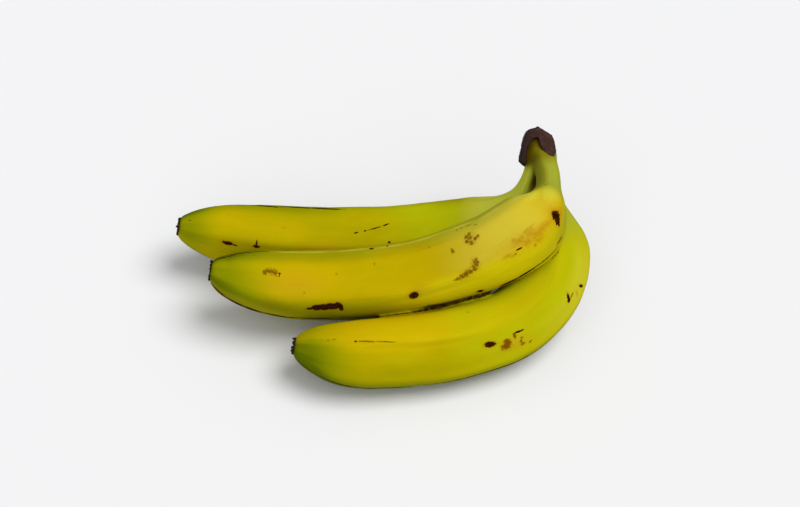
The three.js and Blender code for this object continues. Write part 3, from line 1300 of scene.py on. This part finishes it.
@dataclass
class PlantainHand:
    """The three fruits, their necks and the green crown, grown together as one skin.

    The pairs of limits are the values at which a shade of the skin is absent and full: those
    for necks in mm from the neck, those for sides in degrees from OUTWARD, the rest in mm.
    """

    rings: int = 44
    voxel: float = 0.0011
    quick_coarseness: float = 1.8
    crown_lean: float = 40.0
    squareness: float = 0.35
    lobes: tuple[Lobe, ...] = (
        Lobe((89.9, 53.9, 89.6), (14.0, 16.5, 14.0)),
        Lobe((84.8, 52.3, 87.2), (6.5, 14, 16), -13),
        Lobe((96.6, 49.6, 89.2), (8.6, 13.5, 15), 14),
        Lobe((89.6, 49.0, 89.0), (8.5, 8.5, 9.5)),
    )
    swell: Lumps = Lumps("skin_swell", 0.028, 0.0011)
    # Where the middle's underside over the front and the crease between them darken: rub marks
    # together with painted shade.
    rub_shade_necks: tuple[tuple[float, float], ...] = ((72, 80), (136, 122))
    rub_shade_gap: tuple[float, float] = (8.06, 1.86)
    seam_neck: tuple[float, float] = (32, 40)
    seam_depth: float = 5.0
    seam_breadths: Point = (1.3, 3.0, 5.5)
    seam_bends: tuple[float, float] = (132, 84)
    slit_necks: tuple[tuple[float, float], ...] = ((1, 5), (32, 16))
    slit_sides: tuple[tuple[float, float], ...] = ((-6, -44), (-150, -120))
    shade_side: tuple[float, float] = (12, 34)
    shade_neck: tuple[float, float] = (34, 26)
    shade_strength: float = 0.45
    crown_neck: tuple[float, float] = (13, 3)

    def build(self, finish: Material) -> Object:
        """Makes, maps and dresses the skin.

        Args:
            finish: the skin's material.
        Returns:
            The finished piece.
        """
        forms = []
        for finger in FINGERS:
            form = Sweep(f"finger_{finger.place.name.lower()}", finger.stations(self.rings),
                         FINGER_SIDES).build()
            soften(form)
            forms.append(form)
        lean = Matrix.Rotation(math.radians(-self.crown_lean), 3, "X")
        for lobe in self.lobes:
            forms.append(squared_ball(
                self.squareness, lobe.size, (Vector(lobe.at) + ORIGIN_SHIFT) * MM,
                lean @ Matrix.Rotation(math.radians(-lobe.turn), 3, "Y")))
        piece = join(forms, "hand_peel")
        voxel = self.voxel * 1.0
        grow_together(piece, voxel, 7, (self.swell,))
        self.rest_on_floor(piece)
        self.map_skin(piece)
        return dress(piece, finish)

    @staticmethod
    def rest_on_floor(piece: Object) -> None:
        """Presses what would sink below the floor flat onto it.

        Args:
            piece: the skin.
        """
        bpy.ops.object.mode_set(mode="EDIT")
        bpy.ops.mesh.select_all(action="DESELECT")
        mesh = bmesh.from_edit_mesh(piece.data)
        for vertex in mesh.verts:
            vertex.select = vertex.co.z < 0
        mesh.select_flush_mode()
        bpy.ops.transform.resize(value=(1, 1, 0), center_override=(0, 0, 0))
        drop_selection()

    def rub_and_shade(self, gaps: np.ndarray, neck: np.ndarray, owner: np.ndarray) -> np.ndarray:
        """Finds where the middle and the front finger rub each other brown, and where painted
        shade darkens the crease between them and the middle's underside over the front.

        Args:
            gaps: the points' gaps to every finger, a row for each.
            neck: their distances from their own finger's neck.
            owner: their own finger's number.
        Returns:
            A share from 0 to 1 for each point.
        """
        middle, front = gaps[Place.MIDDLE.value], gaps[Place.FRONT.value]
        rubbed_and_shaded = ramp(front, *self.rub_shade_gap) * (owner == Place.MIDDLE.value)
        for limits in self.rub_shade_necks:
            rubbed_and_shaded *= ramp(neck, *limits)
        narrow, usual, wide = self.seam_breadths
        far, near = self.seam_bends
        breadth = np.where(neck > far, narrow, usual)
        breadth[(owner == Place.FRONT.value) & (neck < near)] = wide
        touching = (np.minimum(middle, front) < self.seam_depth) & (owner != Place.BACK.value)
        seam = ramp(np.abs(middle - front), 1.2 * breadth, 0.2 * breadth) * touching
        return np.maximum(rubbed_and_shaded, seam * ramp(neck, *self.seam_neck))

    def map_skin(self, piece: Object) -> None:
        """Gives every point its place along and around its own finger.

        Args:
            piece: the skin, which gets attributes and a map.
        """
        mesh = piece.data
        points = read(mesh.vertices, "co", float, 3).reshape(-1, 3) / MM
        fields = np.stack([finger.follow(points) for finger in FINGERS], 1)
        owner = fields[0].argmin(0)
        _, along, neck, angle, crest, tone, pale, fresh, bright = (
            fields[:, owner, np.arange(len(points))])
        side = np.degrees(angle)
        # Painted shade on the back finger's neck in the slit beside the middle one.
        slit = (owner == Place.BACK.value).astype(float)
        for values, limits in ((side, self.slit_sides), (neck, self.slit_necks)):
            for pair in limits:
                slit *= ease(values, *pair)
        reach = np.array([finger.neck_reach for finger in FINGERS])[owner]
        # Painted shade: one side of the middle finger's neck darkens towards the crown olive.
        shaded = (ease(side, *self.shade_side) * ease(neck, *self.shade_neck)
                  * (owner == Place.MIDDLE.value) * self.shade_strength)
        for name, parts in (
                (RING_COORDS, (along * MM, np.cos(angle), np.sin(angle))),
                (ZONE_COORDS, (ease(neck, reach[:, 1], reach[:, 0]), crest,
                               self.rub_and_shade(fields[0], neck, owner))),
                (SKIN_TONE, (tone, pale, fresh)),
                (SKIN_GLOW, (bright, np.maximum(ease(neck, *self.crown_neck), shaded),
                             np.maximum(slit, CrownCallus.browned(points))))):
            attribute = mesh.attributes.new(name, "FLOAT_VECTOR", "POINT")
            attribute.data.foreach_set("vector", np.stack(parts, 1).astype(np.float32).ravel())
        self.unroll(mesh, fields[1], fields[3], owner)

    @staticmethod
    def unroll(mesh: Any, alongs: np.ndarray, angles: np.ndarray, owner: np.ndarray) -> None:
        """Maps the skin, each face by the finger of its first corner.

        Args:
            mesh: the skin's mesh.
            alongs: the points' distances from the blossom ends, a row for each finger.
            angles: their angles from OUTWARD, a row for each finger.
            owner: their own finger's number.
        """
        corners = read(mesh.loops, "vertex_index")
        lead = np.repeat(corners[read(mesh.polygons, "loop_start")],
                         read(mesh.polygons, "loop_total"))
        held = owner[lead]
        lead_angle = angles[held, lead]
        swing = (angles[held, corners] - lead_angle + math.pi) % (2 * math.pi) - math.pi
        across = (lead_angle + swing) * ARC_RADIUS * MM + held * FINGER_STRIP
        flat = np.stack([alongs[held, corners] * MM, across], 1)
        layer = mesh.uv_layers.new(name=UV_MAP)
        layer.data.foreach_set("uv", flat.astype(np.float32).ravel())


@dataclass(frozen=True)
class FlapSection:
    """A slice of the callus: its outer and inner edge and half its depth, in mm."""

    outer: tuple[float, float]
    inner: tuple[float, float]
    half_depth: float


@dataclass
class CrownCallus:
    """The dried skin over the crown's cut: a flap arched across it, and the cut itself.

    Each section runs from the flap's outer to its inner edge, in millimetres right and up from
    the crown's centre as the viewer sees it; the whole is then leant back with the crown.
    """

    centre: Point = (90.5, 53.0, 90.0)
    sections: tuple[FlapSection, ...] = (
        FlapSection((-11.7, -8.6), (-7.5, -12.3), 4), FlapSection((-10.9, -4.2), (-7.3, -6.6), 5),
        FlapSection((-9.9, 0.6), (-6.8, -1.6), 5.6), FlapSection((-8.8, 4.8), (-5.6, 1.2), 6),
        FlapSection((-7.6, 8.3), (-4.2, 3.2), 6.3), FlapSection((-5.4, 10.2), (-3.0, 4.2), 6.3),
        FlapSection((-1.3, 10.4), (-1.6, 4.8), 6.3), FlapSection((0.0, 10.8), (-0.8, 4.0), 6.3),
        FlapSection((4.4, 8.2), (-0.3, 1.2), 6.3), FlapSection((7.5, 6.1), (0.4, -0.6), 6.3),
        FlapSection((8.9, 2.5), (1.4, -2.2), 6.3), FlapSection((9.7, -1.4), (2.8, -3.8), 6),
        FlapSection((9.7, -4.6), (4.2, -6.0), 5.4), FlapSection((8.2, -7.0), (5.4, -7.8), 4.4))
    flap_forward: float = 3.4
    rim_bevel: float = 1.1
    bevel_angle: float = 50.0
    cut_at: Point = (0.0, 4.2, -0.6)
    cut_size: Point = (19.6, 17.4, 19.0)
    cut_squareness: float = 0.22
    knobs: tuple[Point, ...] = (
        (-0.9, 10.2, 1.0), (-7.3, 7.9, 0.8), (7.0, 5.8, 0.8), (9.6, -2.6, 0.7), (-11.2, -8.0, 0.9))
    voxel: float = 0.0006
    view_lean: float = 50.0
    brown_reach: tuple[float, float] = (6.0, 1.0)
    lumps: tuple[Lumps, ...] = (Lumps("callus_lumps", 0.006, 0.0011),
                                Lumps("callus_grain", 0.0014, 0.0005))

    @classmethod
    def browned(cls, points: np.ndarray) -> np.ndarray:
        """Finds how strongly the skin inside the callus's left arch is darkened towards brown.

        Args:
            points: the skin's points, in millimetres.
        Returns:
            A share from 0 to 1 for each point.
        """
        lean = math.radians(cls.view_lean)
        offset = points - np.array(cls.centre) - np.array(ORIGIN_SHIFT)
        up = offset[:, 1] * math.sin(lean) + offset[:, 2] * math.cos(lean)
        ahead = offset[:, 2] * math.sin(lean) - offset[:, 1] * math.cos(lean)
        edge = np.array([section.inner for section in cls.sections[1:8]])
        steps = np.linspace(0, len(edge) - 1, 40)
        right, high = (np.interp(steps, np.arange(len(edge)), part) for part in edge.T)
        gap = np.hypot(offset[:, :1] - right, up[:, None] - high).min(1)
        return ease(gap, *cls.brown_reach) * (ahead > -1)

    def build(self, finish: Material) -> Object:
        """Makes and dresses the callus.

        Args:
            finish: its material.
        Returns:
            The finished piece.
        """
        flap = Sweep("crown_callus", self.stations(), 4).build()
        finish_with(flap, "BEVEL", width=self.rim_bevel * MM, segments=2, limit_method="ANGLE",
                    angle_limit=math.radians(self.bevel_angle))
        soften(flap)
        dome = squared_ball(self.cut_squareness, self.cut_size, Vector(self.cut_at) * MM,
                            Matrix.Identity(3))
        knobs = [primitive("ico_sphere", subdivisions=3, radius=size * MM,
                           location=(x * MM, -2 * self.flap_forward * MM, z * MM))
                 for x, z, size in self.knobs]
        piece = join([flap, dome] + knobs, "crown_callus")
        piece.rotation_euler = (math.radians(-self.view_lean), 0, 0)
        piece.location = (Vector(self.centre) + ORIGIN_SHIFT) * MM
        settle(piece)
        grow_together(piece, self.voxel, 3, self.lumps)
        return dress(piece, finish)

    def stations(self) -> list[Station]:
        """Lays out the flap's square cross-sections, upright, before it is leant back.

        Returns:
            The stations from the flap's left corner to its right one.
        """
        depth = Vector((0, 1, 0))
        forward = Vector((0, -self.flap_forward * MM, 0))
        corner = math.sqrt(2) * MM
        made = []
        for section in self.sections:
            outer, inner = (Vector((x, 0, z)) for x, z in (section.outer, section.inner))
            across = (inner - outer).normalized()
            axes = Matrix((across, depth, across.cross(depth))).transposed()
            made.append(Station((outer + inner) / 2 * MM + forward, axes @ Matrix.Rotation(
                math.pi / 4, 3, "Z"), (inner - outer).length / 2 * corner,
                section.half_depth * corner))
        return made


@dataclass(frozen=True)
class Crumb:
    """A dried crumb of the flower: degrees from OUTWARD, mm ahead of the end, size in mm."""

    angle: float
    ahead: float
    size: float


CRUMBS = {
    Place.BACK: (Crumb(88, -0.5, 1.3), Crumb(52, -0.3, 1.0), Crumb(-8, -0.3, 1.2),
                 Crumb(-46, -0.4, 1.0), Crumb(-84, -0.6, 1.4), Crumb(180, 0.1, 1.4)),
    Place.MIDDLE: (Crumb(66, -0.2, 2.3), Crumb(40, -0.2, 1.2), Crumb(6, -0.3, 1.0),
                   Crumb(-34, -0.2, 1.4), Crumb(-70, -0.4, 1.6), Crumb(150, 0.1, 1.5)),
    Place.FRONT: (Crumb(76, 0.5, 1.5), Crumb(60, 0.1, 1.2), Crumb(20, 0.1, 1.2),
                  Crumb(-6, 0.4, 1.7), Crumb(-34, 0.2, 2.0), Crumb(-62, -0.2, 1.4),
                  Crumb(160, 0.2, 1.7)),
}


@dataclass
class BlossomStub:
    """The dried black scar at a finger's blossom end, with the crumbs of its flower.

    The profile's pairs are mm ahead of the finger's end and the width, as a share of the end's.
    """

    finger: Finger
    crumbs: tuple[Crumb, ...]
    profile: tuple[tuple[float, float], ...] = (
        (-2.0, 0.45), (-1.2, 0.66), (-0.7, 0.84), (-0.35, 0.93), (0.0, 0.86), (-0.3, 0.60))
    crumb_ring: float = 0.90
    voxel: float = 0.00022
    lumps: tuple[Lumps, ...] = (Lumps("scar_lumps", 0.0026, 0.0013),
                                Lumps("scar_grain", 0.0009, 0.0007))

    def build(self, finish: Material) -> Object:
        """Makes and dresses the stub.

        Args:
            finish: its material.
        Returns:
            The finished piece.
        """
        centres, outs, overs, tangents = self.finger.samples(STATION_STEP)
        axes = ridge_axes(outs[-1], overs[-1], tangents[-1], float(self.finger.ridge_at(0.0)))
        tip, ahead = Vector(centres[-1]) * MM, Vector(tangents[-1]) * MM
        radius = self.finger.blossom_radius * MM
        name = f"blossom_stub_{self.finger.place.name.lower()}"
        scar = Sweep(name, [Station(tip + ahead * step, axes, radius * width, radius * width,
                                    STUB_CREST) for step, width in self.profile],
                     FINGER_SIDES).build()
        soften(scar)
        bits = [scar]
        for crumb in self.crumbs:
            swing = math.radians(crumb.angle)
            side = Vector(outs[-1]) * math.cos(swing) + Vector(overs[-1]) * math.sin(swing)
            bits.append(primitive(
                "ico_sphere", subdivisions=4, radius=crumb.size / 2 * MM,
                location=tip + side * radius * self.crumb_ring + ahead * crumb.ahead))
        piece = join(bits, name)
        grow_together(piece, self.voxel, 0, self.lumps)
        return dress(piece, finish)


# ---------------------------------------------------------------- the stage

@dataclass(frozen=True)
class Lamp:
    """A wide, distant studio light: where it shines from, its spread in degrees, its power."""

    name: str
    shines_from: Point
    spread: float
    power: float

    def hang(self) -> None:
        """Puts the lamp up."""
        drop_selection()
        bpy.ops.object.light_add(type="SUN")
        lamp = bpy.context.object
        lamp.name = lamp.data.name = self.name
        lamp.data.energy = self.power
        lamp.data.angle = math.radians(self.spread)
        lamp.rotation_euler = (-Vector(self.shines_from)).to_track_quat("-Z", "Y").to_euler()


@dataclass(frozen=True)
class Studio:
    """A light-toned floor, soft light and the camera."""

    camera_at: Point = (0.01141, -0.57351, 0.7418)
    camera_pitch: float = 40.0
    lens: float = 70.0
    sensor: float = 36.0
    floor_size: float = 16.0
    floor_tone: Colour = (0.82, 0.82, 0.83, 1.0)
    sky: Colour = (0.92, 0.92, 0.93, 1.0)
    sky_light: float = 0.34
    key: Lamp = Lamp("soft_key", (0.44, -0.06, 0.90), 36.0, 2.15)
    fill: Lamp = Lamp("soft_fill", (0.0, -0.70, 0.70), 75.0, 0.80)

    def build(self) -> None:
        """Sets the stage."""
        self.lay_floor()
        self.light()
        self.place_camera()
        bpy.context.scene.view_settings.view_transform = "Standard"

    def lay_floor(self) -> None:
        """Lays the floor."""
        floor = primitive("plane", size=self.floor_size, location=(0, 0, 0))
        floor.name = "studio_floor"
        material, board, shader = new_material("studio_floor")
        board.wire(shader, {"Base Color": self.floor_tone, "Roughness": 0.9,
                            "Specular IOR Level": 0.0})
        floor.data.materials.append(material)

    def light(self) -> None:
        """Lights the stage from the sky, a soft key at the right and a softer fill in front."""
        world = bpy.data.worlds.new("studio_sky")
        bpy.context.scene.world = world
        world.use_nodes = True
        world.node_tree.nodes.clear()
        board = Board(world.node_tree)
        seen = board.node("LightPath").outputs["Is Camera Ray"]
        level = board.node("MapRange", {0: seen, 3: self.sky_light, 4: 1.0}).outputs[0]
        glow = board.node("Background", {"Color": self.sky, "Strength": level})
        board.node("OutputWorld", {0: glow.outputs[0]})
        for lamp in (self.key, self.fill):
            lamp.hang()

    def place_camera(self) -> None:
        """Puts up the camera."""
        drop_selection()
        bpy.ops.object.camera_add(location=self.camera_at,
                                  rotation=(math.radians(self.camera_pitch), 0, 0))
        camera = bpy.context.object
        camera.data.lens = self.lens
        camera.data.sensor_width = self.sensor
        camera.data.dof.use_dof = False
        camera.data.clip_start = 0.01
        bpy.context.scene.camera = camera


# ---------------------------------------------------------------- putting it together

def enrol(piece: Object) -> None:
    """Declares a finished piece to the frame and reports it.

    Args:
        piece: the piece.
    """
    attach(piece, BODY)
    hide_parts(NODE)
    LOG.info("%s: %d faces", piece.name, len(piece.data.polygons))


def main() -> None:
    """Builds the hand and its stage."""
    logging.basicConfig(level=logging.INFO)
    Studio().build()
    effects = SharedEffects()
    peel = PeelFinish().build(effects, MARKS + StrayMarks().scatter())
    enrol(PlantainHand().build(peel))
    # The callus gets painted shade on its faces turned from OUTWARD and on its left side.
    callus = CrustFinish("crown_callus", shade(34, 21, 22), shade(86, 55, 42), 260.0, rim=0.8,
                         painted_shade_side=(0.084, 0.093), mottle=0.65)
    enrol(CrownCallus().build(callus.build(effects)))
    scar = CrustFinish("blossom_scar", shade(20, 14, 6), shade(58, 44, 16), 900.0).build(effects)
    for finger in FINGERS:
        enrol(BlossomStub(finger, CRUMBS[finger.place]).build(scar))


if __name__ == "__main__":
    main()
